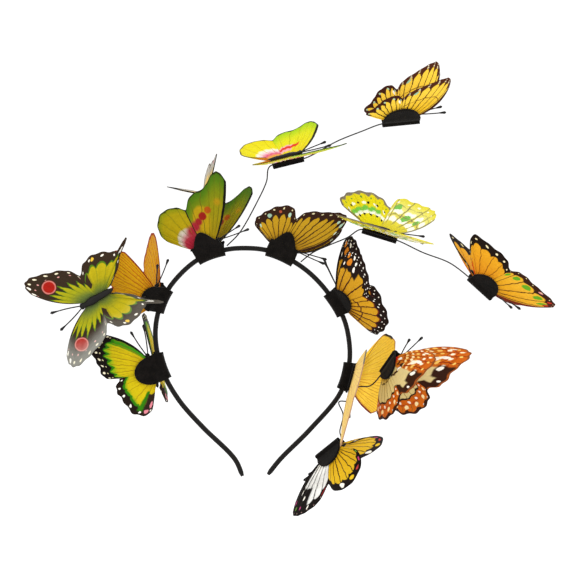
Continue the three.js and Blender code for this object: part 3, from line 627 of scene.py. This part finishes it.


# Butterflies: at is the middle of the root, heading and pitch turn the body, right and left the wings. A pad
# has a length and a height. Film with painted light gets a pale haze that stands in for light through the
# thin film, with a share of haze on each half, and where the haze begins and ends
butterflies = [
    {"name": "spread", "wing": "swallowtail", "size": 1, "on": "stem", "at": (-102, -32, 26),
     "heading": 210, "pitch": 0, "right": 167, "left": 13, "paintedLight": {"left": (0.36, 0.1, 0.5, 0.95)}},
    {"name": "amber", "wing": "plain", "size": 0.93, "on": "band", "at": (-60, -33, 0),
     "heading": 69, "pitch": 31, "right": 15, "left": -60, "pad": (20, 9)},
    {"name": "temple", "wing": "garden", "size": 1, "on": "band", "at": (-62, -77, 0),
     "heading": 107, "pitch": 12, "right": 15, "left": -97, "pad": (19, 13)},
    {"name": "leaf", "wing": "leaf", "size": 1, "on": "band", "at": (-28.5, -2, 0),
     "heading": 21, "pitch": 22, "right": 15, "left": -50, "pad": (21, 11), "peak": 1.6},
    {"name": "rear", "wing": "leaf", "size": 0.6, "on": "stem", "at": (-33, 39, -12),
     "heading": 335, "pitch": 80, "right": 107, "left": 10},
    {"name": "lemon", "wing": "leaf", "size": 1, "on": "high_wire", "at": (23, 61, 4),
     "heading": 14.5, "pitch": -10, "right": 97, "left": -60, "pad": (21, 8)},
    {"name": "tip_tiger", "wing": "small_tiger", "size": 1, "on": "high_wire", "at": (98.5, 88, 0),
     "heading": 6, "pitch": -5, "right": 57, "left": -8, "pad": (25, 12)},
    {"name": "crown_tiger", "wing": "tiger", "size": 1, "on": "band", "at": (19, -1, 0),
     "heading": -24, "pitch": 0, "right": 8, "left": -35, "pad": (20, 11.5), "peak": 1.6},
    {"name": "monarch", "wing": "monarch", "size": 1, "on": "band", "at": (57, -34, 0),
     "heading": 120, "pitch": 10, "right": 224, "left": 127, "pad": (18, 9.5)},
    {"name": "lime", "wing": "lime", "size": 1, "on": "side_wire", "at": (85, 12.5, 0),
     "heading": -17, "pitch": 0, "right": 92, "left": -45, "pad": (24, 9)},
    {"name": "tip_orange", "wing": "orange", "size": 1, "on": "side_wire", "at": (153, -23, 0),
     "heading": -41, "pitch": -15, "right": 45, "left": -64, "pad": (21, 10)},
    {"name": "plain", "wing": "plain", "size": 1.06, "on": "band", "at": (66, -85, 0),
     "heading": 255, "pitch": -20, "right": 90, "left": -56, "pad": (20, 8),
     "paintedLight": {"right": (0.25, 0.25, -1, 0)}},
    {"name": "checkered", "wing": "checkered", "size": 1, "on": "drop_wire", "at": (92, -76, 2),
     "heading": 58, "pitch": 32, "right": 175, "left": 117, "pad": (19, 10)},
    {"name": "clearwing", "wing": "clearwing", "size": 1, "on": "drop_wire", "at": (52, -135, -12),
     "heading": 222, "pitch": -31, "right": 55, "left": -55, "pad": (22, 10), "antennaSpread": 0.7},
]
# The body's profile runs from tail to head, as shares of its length and of its half width
body = {
    "length": 25, "halfWidth": 2.6, "flatness": 0.62, "clearance": 0.7, "middle": 0.55, "headShare": 0.42,
    "flatSpread": 88, "steps": 64, "sides": 24, "ribDepth": 0.07, "ribPitch": 0.055, "ribEnd": 0.46,
    "profile": [
        (0, 0), (0.03, 0.3), (0.08, 0.52), (0.3, 0.82), (0.44, 0.8), (0.5, 0.9), (0.6, 1), (0.72, 0.92),
        (0.81, 0.62), (0.84, 0.58), (0.88, 0.72), (0.93, 0.74), (0.98, 0.45), (1, 0),
    ],
    "eyeRadius": 0.95, "eyeAt": (-0.9, 0.5, 1.45), "eyeShape": (0.9, 0.8, 0.7, 1),
    "antennaBase": (-1.5, 0.35), "antennaRoute": [(0.45, 0.6, 0.2), (1, 1.4, 0.34)],
    "antenna": 19, "antennaRadius": 0.42, "antennaSteps": 22, "antennaSides": 8,
    "clubFrom": 17, "clubSteps": 4, "clubGrowth": 1.4, "clubTip": 0.6,
}
wire = {
    "radius": 0.45, "sides": 10, "step": 1.2, "leastSteps": 24, "seat": 1.8, "bandSeat": 2.2,
    "flatStemSeat": 0.8, "smallStemSeat": 0.2,
}


def turned(degrees, axis):
    return Matrix.Rotation(math.radians(degrees), 4, axis)


def direction(angle):
    return Vector((0, math.cos(angle), math.sin(angle)))


# Where a butterfly sits: its frame, the turn of its back, half its opening and its wings' hinges
def poseOf(row):
    dorsal = math.radians((row["right"] + row["left"]) / 2)
    spread = math.radians((row["right"] - row["left"]) / 2)
    wide = body["halfWidth"] * row["size"]
    thick = wide * body["flatness"]
    hinge = 0.0
    height = thick
    if spread < math.radians(body["flatSpread"]):
        height = thick + body["clearance"]
        reach = math.hypot(wide * math.cos(spread), thick * math.sin(spread))
        hinge = max(0.0, (reach + body["clearance"] - height * math.sin(spread)) / math.cos(spread))
    turn = turned(row["heading"], "Z") @ turned(-row["pitch"], "Y")
    place = Vector(row["at"])
    share = None
    if row["on"] == "band":
        share = nearestShare(place.x, place.y)
        face, out = outerFace(share)
        aside = turned(-row["heading"], "Z") @ out
        outward = 0 if aside.y > 0 else math.pi
        place = face + out * (wire["bandSeat"] + hinge * abs(math.sin(dorsal - outward)))
    return {"row": row, "frame": Matrix.Translation(place) @ turn, "dorsal": dorsal, "spread": spread,
            "hinge": hinge, "height": height, "share": share, "across": direction(dorsal + math.pi / 2)}


poses = {row["name"]: poseOf(row) for row in butterflies}


# Wings, in the plane of the wing: bearing in degrees from the head, reach from the middle of the root
wing = {
    "thickness": 0.5, "curl": 2.5, "rings": 26, "rays": 128, "foreRays": 56, "rootFront": 7, "rootRear": 9,
    "rootGap": 0.7, "leadShare": 0.6, "split": 7 / 13, "pleat": 0.22, "pleatEnd": 1.1, "cells": 7,
    "scallop": 0.35, "smoothLead": 0.12, "marginSteps": 40,
}
outlines = {
    "swallowtail": {
        "lead": 3, "scallop": 0.8, "fore": [(35, 41), (41, 46), (48, 45), (59, 36), (76, 27), (89, 18)],
        "hind": [(89, 18), (103, 25), (119, 30), (137, 33), (147, 34), (155, 27), (168, 14)],
        "tail": {"at": 0.667, "reach": 12, "width": 0.036}},
    "garden": {
        "lead": 3, "scallop": 1, "fore": [(34, 39), (46, 45), (55, 43), (66, 37), (80, 33), (86, 23)],
        "hind": [(86, 23), (99, 28), (117, 29), (140, 33), (160, 30), (168, 15)]},
    "plain": {
        "lead": 1.5, "fore": [(44, 43), (51, 48), (59, 47), (71, 41), (83, 37), (90, 31)],
        "hind": [(90, 31), (104, 38), (120, 40), (136, 37), (150, 32), (161, 15)]},
    "leaf": {
        "lead": 2.5, "fore": [(47, 48), (54, 53), (59, 51), (66, 41), (82, 36), (95, 28)],
        "hind": [(95, 28), (106, 34), (122, 38), (138, 36), (152, 29), (163, 14)]},
    "tiger": {
        "lead": 4.5, "scallop": 0.6, "fore": [(43, 42), (49, 47), (55, 45), (64, 37), (80, 29), (90, 21)],
        "hind": [(90, 21), (101, 28), (122, 28), (145, 27), (161, 26), (172, 14)]},
    "small_tiger": {
        "lead": 4.5, "fore": [(41, 40), (49, 46), (54, 43), (63, 34), (79, 25), (90, 19)],
        "hind": [(90, 19), (101, 23), (122, 23), (145, 22), (165, 25), (174, 14)]},
    "monarch": {
        "lead": 2, "scallop": 1, "fore": [(43, 41), (49, 47), (56, 47), (65, 41), (80, 33), (93, 26)],
        "hind": [(93, 26), (107, 35), (127, 38), (147, 35), (163, 30), (172, 14)]},
    "lime": {
        "lead": 3, "scallop": 1.2, "fore": [(36, 41), (43, 46), (50, 45), (63, 40), (79, 36), (84, 23)],
        "hind": [(84, 23), (102, 32), (122, 37), (142, 38), (157, 34), (166, 17)]},
    "orange": {
        "lead": 3.5, "scallop": 0.7, "fore": [(27, 43), (32, 49), (38, 46), (53, 35), (73, 29), (85, 23)],
        "hind": [(85, 23), (104, 29), (126, 34), (144, 42), (153, 31), (162, 15)]},
    "checkered": {
        "lead": 3, "scallop": 1.2, "fore": [(34, 48), (39, 56), (44, 55), (55, 43), (73, 36), (88, 28)],
        "hind": [(88, 28), (100, 34), (120, 37), (140, 36), (154, 28), (163, 14)]},
    "clearwing": {
        "lead": 2.5, "fore": [(21, 44), (27, 50), (33, 49), (43, 43), (58, 34), (71, 22)],
        "hind": [(71, 22), (88, 31), (112, 37), (134, 36), (151, 27), (163, 14)]},
}


# A point of the smooth margin through a few bearings and reaches
def marginAt(points, u):
    place = u * (len(points) - 1)
    index = min(int(place), len(points) - 2)
    f = place - index
    p0, p1 = points[max(index - 1, 0)], points[index]
    p2, p3 = points[index + 1], points[min(index + 2, len(points) - 1)]
    leave, arrive = (p2 - p0) * 0.5, (p3 - p1) * 0.5
    return curveAt(p1, leave, p2, arrive, f)


def marginPoints(rows, size):
    return [Vector((math.cos(math.radians(b)), math.sin(math.radians(b)))) * r * size for b, r in rows]


# Share of the wing from front to rear at a share of its rays: the forewing has more rays, one on the notch
def rayShare(share):
    fore = wing["foreRays"] / wing["rays"]
    if share <= fore:
        return share / fore * wing["split"]
    return wing["split"] + (share - fore) / (1 - fore) * (1 - wing["split"])


# One wing: a grid laid out along the rays of its outline, pleated along its veins and curled at its edge
def wingMesh(row, side):
    shape = outlines[row["wing"]]
    size = row["size"]
    foreEdge, hindEdge = marginPoints(shape["fore"], size), marginPoints(shape["hind"], size)
    split = wing["split"]
    bm = bmesh.new()
    bm.loops.layers.uv.new("print")
    laid = bm.verts.layers.float_vector.new("flat")
    bmesh.ops.create_grid(bm, x_segments=wing["rings"], y_segments=wing["rays"], size=1.0, calc_uvs=True)
    for vert in bm.verts:
        out, across = (vert.co.x + 1) / 2, rayShare((vert.co.y + 1) / 2)
        isFore = across <= split
        part = across / split if isFore else (across - split) / (1 - split)
        edge = marginAt(foreEdge if isFore else hindEdge, part)
        if "tail" in shape and not isFore:
            tail = shape["tail"]
            longer = tail["reach"] * size * math.exp(-((part - tail["at"]) / tail["width"]) ** 4)
            edge += edge.normalized() * longer
        rootAt = wing["rootFront"] - (wing["rootRear"] + wing["rootFront"]) * across
        root = Vector((rootAt * size, wing["rootGap"]))
        ray = edge - root
        hump = 4 * out * (1 - out)
        bow = shape["lead"] * size * max(0, 1 - across / (wing["leadShare"] * split)) * hump
        forward = Vector((ray.y, -ray.x)).normalized()
        ripple = math.cos(2 * math.pi * wing["cells"] * part)
        depth = shape.get("scallop", wing["scallop"]) * size * (1 - ripple) / 2
        if isFore and part < wing["smoothLead"]:
            depth = 0
        ray = ray * (1 - depth / ray.length)
        flat = root + ray * out + forward * bow
        pleat = wing["pleat"] * ripple * math.sin(math.pi * min(out * wing["pleatEnd"], 1))
        lift = pleat - side * wing["curl"] * size * out**2
        vert[laid] = (flat.x / size, flat.y / size, 0)
        vert.co = (flat.x, flat.y, lift)
    layer = bm.loops.layers.uv.active
    for face in bm.faces:
        for loop in face.loops:
            loop[layer].uv.y = rayShare(loop[layer].uv.y)
    return bm


# Sizes that the prints need: the length of the rays, and the width of each half at its root and margin
def printSpans(row):
    shape = outlines[row["wing"]]
    spans = {}
    rootLength = wing["rootFront"] + wing["rootRear"]
    steps = wing["marginSteps"]
    for half, rootSpan in (("fore", rootLength * wing["split"]), ("hind", rootLength * (1 - wing["split"]))):
        points = marginPoints(shape[half], row["size"])
        edge = [marginAt(points, step / steps) for step in range(steps + 1)]
        marginSpan = sum((b - a).length for a, b in zip(edge, edge[1:]))
        reach = sum(point.length for point in edge) / len(edge)
        spans[half] = (reach, rootSpan * row["size"], marginSpan)
    return spans


# Body: a ribbed abdomen, a thick thorax and a head with eyes, spun and then flattened; clubbed antennae
def bodyMesh(row):
    size = row["size"]
    length, radius = body["length"] * size, body["halfWidth"] * size
    bm = bmesh.new()
    profile = smoothPath([Vector((along, share, 0)) for along, share in body["profile"]], body["steps"])
    chain = []
    for point in profile:
        wave = math.cos(2 * math.pi * point.x / body["ribPitch"])
        rib = 1 + body["ribDepth"] * wave * (point.x < body["ribEnd"])
        chain.append(bm.verts.new(((point.x - body["middle"]) * length, max(0, point.y) * radius * rib, 0)))
    chain[0].co.y = chain[-1].co.y = 0
    edges = [bm.edges.new(pair) for pair in zip(chain, chain[1:])]
    bmesh.ops.spin(
        bm, geom=chain + edges, cent=(0, 0, 0), axis=(1, 0, 0), dvec=(0, 0, 0), angle=2 * math.pi,
        steps=body["sides"], use_merge=True)
    bmesh.ops.remove_doubles(bm, verts=bm.verts, dist=1e-4)
    bmesh.ops.scale(bm, vec=(1, body["flatness"], 1), verts=bm.verts)
    head = body["headShare"] * length
    reach = body["antenna"] * size
    back, up, aside = (share * size for share in body["eyeAt"])
    for side in (-1, 1):
        eye = Matrix.Translation((head + back, up, side * aside)) @ Matrix.Diagonal(body["eyeShape"])
        bmesh.ops.create_uvsphere(
            bm, u_segments=12, v_segments=8, radius=body["eyeRadius"] * size, matrix=eye)
        apart = side * reach * row.get("antennaSpread", 1)
        baseAt, baseAside = body["antennaBase"]
        route = [Vector((head + baseAt, 0, side * baseAside))]
        for along, lift, out in body["antennaRoute"]:
            route.append(Vector((head + along * reach, lift, out * apart)))
        path = smoothPath(route, body["antennaSteps"])
        grown = [max(0, (i - body["clubFrom"]) / body["clubSteps"]) for i in range(body["antennaSteps"])]
        shares = [1 + body["clubGrowth"] * share for share in grown] + [body["clubTip"]]
        sizes = [(body["antennaRadius"] * share,) * 2 for share in shares]
        sweepRing(bm, framesAlong(path, sizes, Vector((0, 1, 0))), body["antennaSides"])
    bmesh.ops.recalc_face_normals(bm, faces=bm.faces)
    return bm


# A folded felt disc: two cheeks under the wings, joined by a fold round what carries it. The plate is the
# thickness of a wing in the source
pad = {
    "felt": 1.2, "start": 1.2, "roundness": 0.97, "peak": 0.5, "lip": 1.5, "gap": 0.3, "plate": 0.7,
    "stations": 28, "bends": 56, "cutEdge": 1.15,
}


def padMesh(pose, carrierAt, thick, halfWide):
    dorsal, spread, across = pose["dorsal"], pose["spread"], pose["across"]
    length, tall = pose["row"]["pad"]
    offset = pad["plate"] / 2 + pad["gap"] + pad["felt"] / 2
    clear = pad["gap"] + pad["felt"] / 2

    def cheek(side, x, distance):
        flat = direction(dorsal + side * spread) * distance
        under = direction(dorsal + side * (spread + math.pi / 2)) * offset
        return Vector((x, 0, 0)) + across * side * pose["hinge"] + flat + under

    def halfPath(side, x):
        point, out, beside = carrierAt(x)
        start = pad["start"]
        begin = cheek(side, x, start)
        while (
            (begin - point).dot(out) < clear + pad["felt"] / 2
            and (begin - point).dot(beside) * side < halfWide + clear
        ):
            start += pad["start"] / 4
            begin = cheek(side, x, start)
        dome = max(0, 1 - (2 * x / length) ** 2 * pad["roundness"]) ** pose["row"].get("peak", pad["peak"])
        height = max(start + pad["lip"], tall * dome)
        edge = point + beside * side * (halfWide + clear)
        return [cheek(side, x, height), cheek(side, x, (start + height) / 2), begin,
                edge + out * min(0, (begin - point).dot(out) - pad["felt"]), edge - out * (thick + clear)]

    stations, bends = pad["stations"], pad["bends"]
    bm = bmesh.new()
    bmesh.ops.create_grid(bm, x_segments=stations, y_segments=bends, size=1.0)
    paths = []
    for step in range(stations + 1):
        x = (step / stations - 0.5) * length
        paths.append(smoothPath(halfPath(1, x) + halfPath(-1, x)[::-1], bends))
    for vert in bm.verts:
        vert.co = paths[round((vert.co.x + 1) / 2 * stations)][round((vert.co.y + 1) / 2 * bends)]
    bmesh.ops.recalc_face_normals(bm, faces=bm.faces)
    return bm


def bandCarrier(pose):
    row = pose["row"]
    inward = pose["frame"].inverted()
    heading = turned(row["heading"], "Z") @ Vector((1, 0, 0))
    out = outerFace(pose["share"])[1]
    ahead = math.copysign(1, Vector((out.y, -out.x, 0)).dot(heading))
    front = inward.to_3x3() @ Vector((0, 0, 1))
    front = front * math.copysign(1, front.dot(pose["across"]))

    def carrierAt(x):
        along = ahead * x * math.cos(math.radians(row["pitch"])) / hoopLength
        point, away = outerFace(pose["share"] + along)
        return inward @ point, inward.to_3x3() @ away, front

    return carrierAt


def wireCarrier(pose):
    out = direction(pose["dorsal"])
    return lambda x: (Vector((x, 0, 0)) - out * wire["seat"], out, pose["across"])


# Points of the layout for the wires: under a butterfly's root, over its body, on its pad, on the band
def pointOn(name, along, up):
    return poses[name]["frame"] @ (Vector((along, 0, 0)) + direction(poses[name]["dorsal"]) * up)


def underRoot(name, *places, seat=wire["seat"]):
    return [pointOn(name, along, -(seat + wire["radius"])) for along in places]


def overBody(name, along):
    return pointOn(name, along, 2 * poses[name]["height"] - body["clearance"] + pad["gap"] + wire["radius"])


def overCheek(name, along, distance):
    pose = poses[name]
    height = pad["plate"] / 2 + pad["felt"] + 2 * pad["gap"] + wire["radius"]
    cheek = turned(pose["row"]["right"], "X") @ Vector((along, distance, height))
    return pose["frame"] @ (cheek + pose["across"] * pose["hinge"])


def onBand(x, y):
    point, out = outerFace(nearestShare(x, y))
    return point + out * (pad["gap"] + wire["radius"])


wireRoutes = {
    "high_wire": [
        onBand(-17, 1), (-9, 12, 1), (3, 33, 2), (9, 46, 3), *underRoot("lemon", -13, 0, 13),
        (56, 73, 1), (73, 80, -1), *underRoot("tip_tiger", -13, 0, 12)],
    "side_wire": [
        onBand(31, -8), (40, -1, -2), (51, 4, -3), (63, 9, -3), *underRoot("lime", -13, 0, 13),
        (113, -1, 0), (131, -8, 0), *underRoot("tip_orange", -13, -9, -5, 0, 10)],
    "drop_wire": [
        *underRoot("checkered", 9, 1, -7, -13), (78, -90, 0), overBody("plain", 5), overBody("plain", 11),
        pointOn("plain", 16, 3), onBand(57, -101), (60, -109, 1), (58, -121, -5),
        *underRoot("clearwing", -13, 0, 10)],
    "spread_stem": [
        overCheek("amber", 2, 6), (-78, -32, 12), *underRoot("spread", -8, 8, seat=wire["flatStemSeat"])],
    "rear_stem": [
        overBody("leaf", -3), (-35, 14, -8), *underRoot("rear", -7, 5, seat=wire["smallStemSeat"])],
}


def makeBand():
    bm = bmesh.new()
    along = bm.verts.layers.float.new("along")
    path = [hoopPath[round(step * hoop["samples"] / hoop["steps"])] for step in range(hoop["steps"] + 1)]
    sizes = []
    for step in range(hoop["steps"] + 1):
        fromTip = hoop["tipStart"] + min(step, hoop["steps"] - step) / hoop["tipSteps"]
        dome = math.sqrt(1 - (1 - min(1, fromTip)) ** 2)
        sizes.append((hoop["width"] / 2 * dome, hoop["thickness"] / 2 * dome))
    rings = sweepRing(bm, framesAlong(path, sizes, Vector((0, 0, 1))), hoop["sides"], hoop["squareness"])
    for step, ring in enumerate(rings):
        for vert in ring:
            vert[along] = step * hoopLength / hoop["steps"]
    bmesh.ops.recalc_face_normals(bm, faces=bm.faces)
    finishPiece(bm, upright, "band_cover", "band", "band_fabric", blackLook("bandCover"))
    print("band done")


def makeWires(look):
    for name, route in wireRoutes.items():
        points = [Vector(point) for point in route]
        length = sum((b - a).length for a, b in zip(points, points[1:]))
        path = smoothPath(points, max(wire["leastSteps"], int(length / wire["step"])))
        sizes = [(wire["radius"], wire["radius"])] * len(path)
        bm = bmesh.new()
        sweepRing(bm, framesAlong(path, sizes, Vector((0.3, 0.2, 1))), wire["sides"])
        bmesh.ops.recalc_face_normals(bm, faces=bm.faces)
        finishPiece(bm, upright, name + "_strand", name, "wire_black", look)
    print("wires done")


def makePad(row, pose, place, feltFinish):
    name = row["name"]
    if row["on"] == "band":
        bm = padMesh(pose, bandCarrier(pose), hoop["thickness"], hoop["width"] / 2)
    else:
        bm = padMesh(pose, wireCarrier(pose), 2 * wire["radius"], wire["radius"] + pad["gap"] / 2)
    area = sum(face.calc_area() for face in bm.faces) * mm**2
    piece = finishPiece(bm, place, name + "_felt", name + "_pad", "felt", feltFinish, pad["felt"])
    width = row["pad"][0] * mm
    flat = (width, area / width * pad["cutEdge"])


def makeButterfly(row, bodyFinish, feltFinish):
    name = row["name"]
    pose = poses[name]
    place = upright @ pose["frame"]
    for word, side in (("right", 1), ("left", -1)):
        # Each wing's painted light, a pale haze for film that looks lit through, if its row has one
        look = filmLook(row, row.get("paintedLight", {}).get(word))
        hinge = Matrix.Translation(pose["across"] * side * pose["hinge"])
        hung = place @ hinge @ turned(row[word], "X")
        piece = f"{name}_{word}"
        bm = wingMesh(row, side)
        finishPiece(bm, hung, piece + "_film", piece + "_wing", name + "_film", look, wing["thickness"])
    above = Matrix.Translation(direction(pose["dorsal"]) * pose["height"])
    lying = place @ above @ Matrix.Rotation(pose["dorsal"], 4, "X")
    finishPiece(bodyMesh(row), lying, name + "_trunk", name + "_body", "body_black", bodyFinish)
    if row["on"] != "stem":
        makePad(row, pose, place, feltFinish)
    print(name, "done")


# Pale round floor, soft lights and a camera square on to the hoop
studio = {
    "floor": -0.3, "radius": 6.0, "paleness": 0.93, "shine": 0.1, "rough": 0.9, "glow": 0.12, "sky": 1.1,
    "distance": 1.06, "lens": 99.9, "aim": (0.0223, -0.0237),
    "lights": [
        ("keyLight", (-0.9, -1.5, 1.3), 1.6, 14), ("fillLight", (1.4, -1.3, 0.5), 1.6, 5),
        ("frontLight", (0.0, -2.2, 0.1), 2.0, 4), ("backLight", (0.2, 0.5, 1.6), 1.6, 4),
    ],
}


def makeStudio():
    bm = bmesh.new()
    place = Matrix.Translation((0, 0, studio["floor"]))
    bmesh.ops.create_circle(bm, cap_ends=True, segments=96, radius=studio["radius"], matrix=place)
    material, _, shader = newLook("paleFloor", studio["shine"])
    shader.inputs["Roughness"].default_value = studio["rough"]
    shader.inputs["Base Color"].default_value = (*[studio["paleness"]] * 3, 1)
    shader.inputs["Emission Color"].default_value = (1, 1, 1, 1)
    shader.inputs["Emission Strength"].default_value = studio["glow"]
    addMesh(bm, "paleFloor", material)
    for name, place, size, power in studio["lights"]:
        data = bpy.data.lights.new(name, "AREA")
        data.size = size
        data.energy = power
        lamp = addObject(name, data)
        lamp.location = place
        lamp.rotation_euler = (-Vector(place)).to_track_quat("-Z", "Y").to_euler()
    world = bpy.data.worlds.new("studio")
    world.use_nodes = True
    sky = world.node_tree.nodes["Background"]
    sky.inputs["Color"].default_value = (1, 1, 1, 1)
    sky.inputs["Strength"].default_value = studio["sky"]
    scene = bpy.context.scene
    scene.world = world
    scene.view_settings.view_transform = "Standard"
    camera = bpy.data.cameras.new("camera")
    camera.lens = studio["lens"]
    eye = addObject("camera", camera)
    eye.location = (studio["aim"][0], -studio["distance"], studio["aim"][1])
    eye.rotation_euler = (math.radians(90), 0, 0)
    scene.camera = eye
    print("studio done")


makeStudio()
makeBand()
makeWires(blackLook("blackWire"))
bodyFinish, feltFinish = blackLook("blackBody"), blackLook("blackFelt")
for row in butterflies:
    makeButterfly(row, bodyFinish, feltFinish)
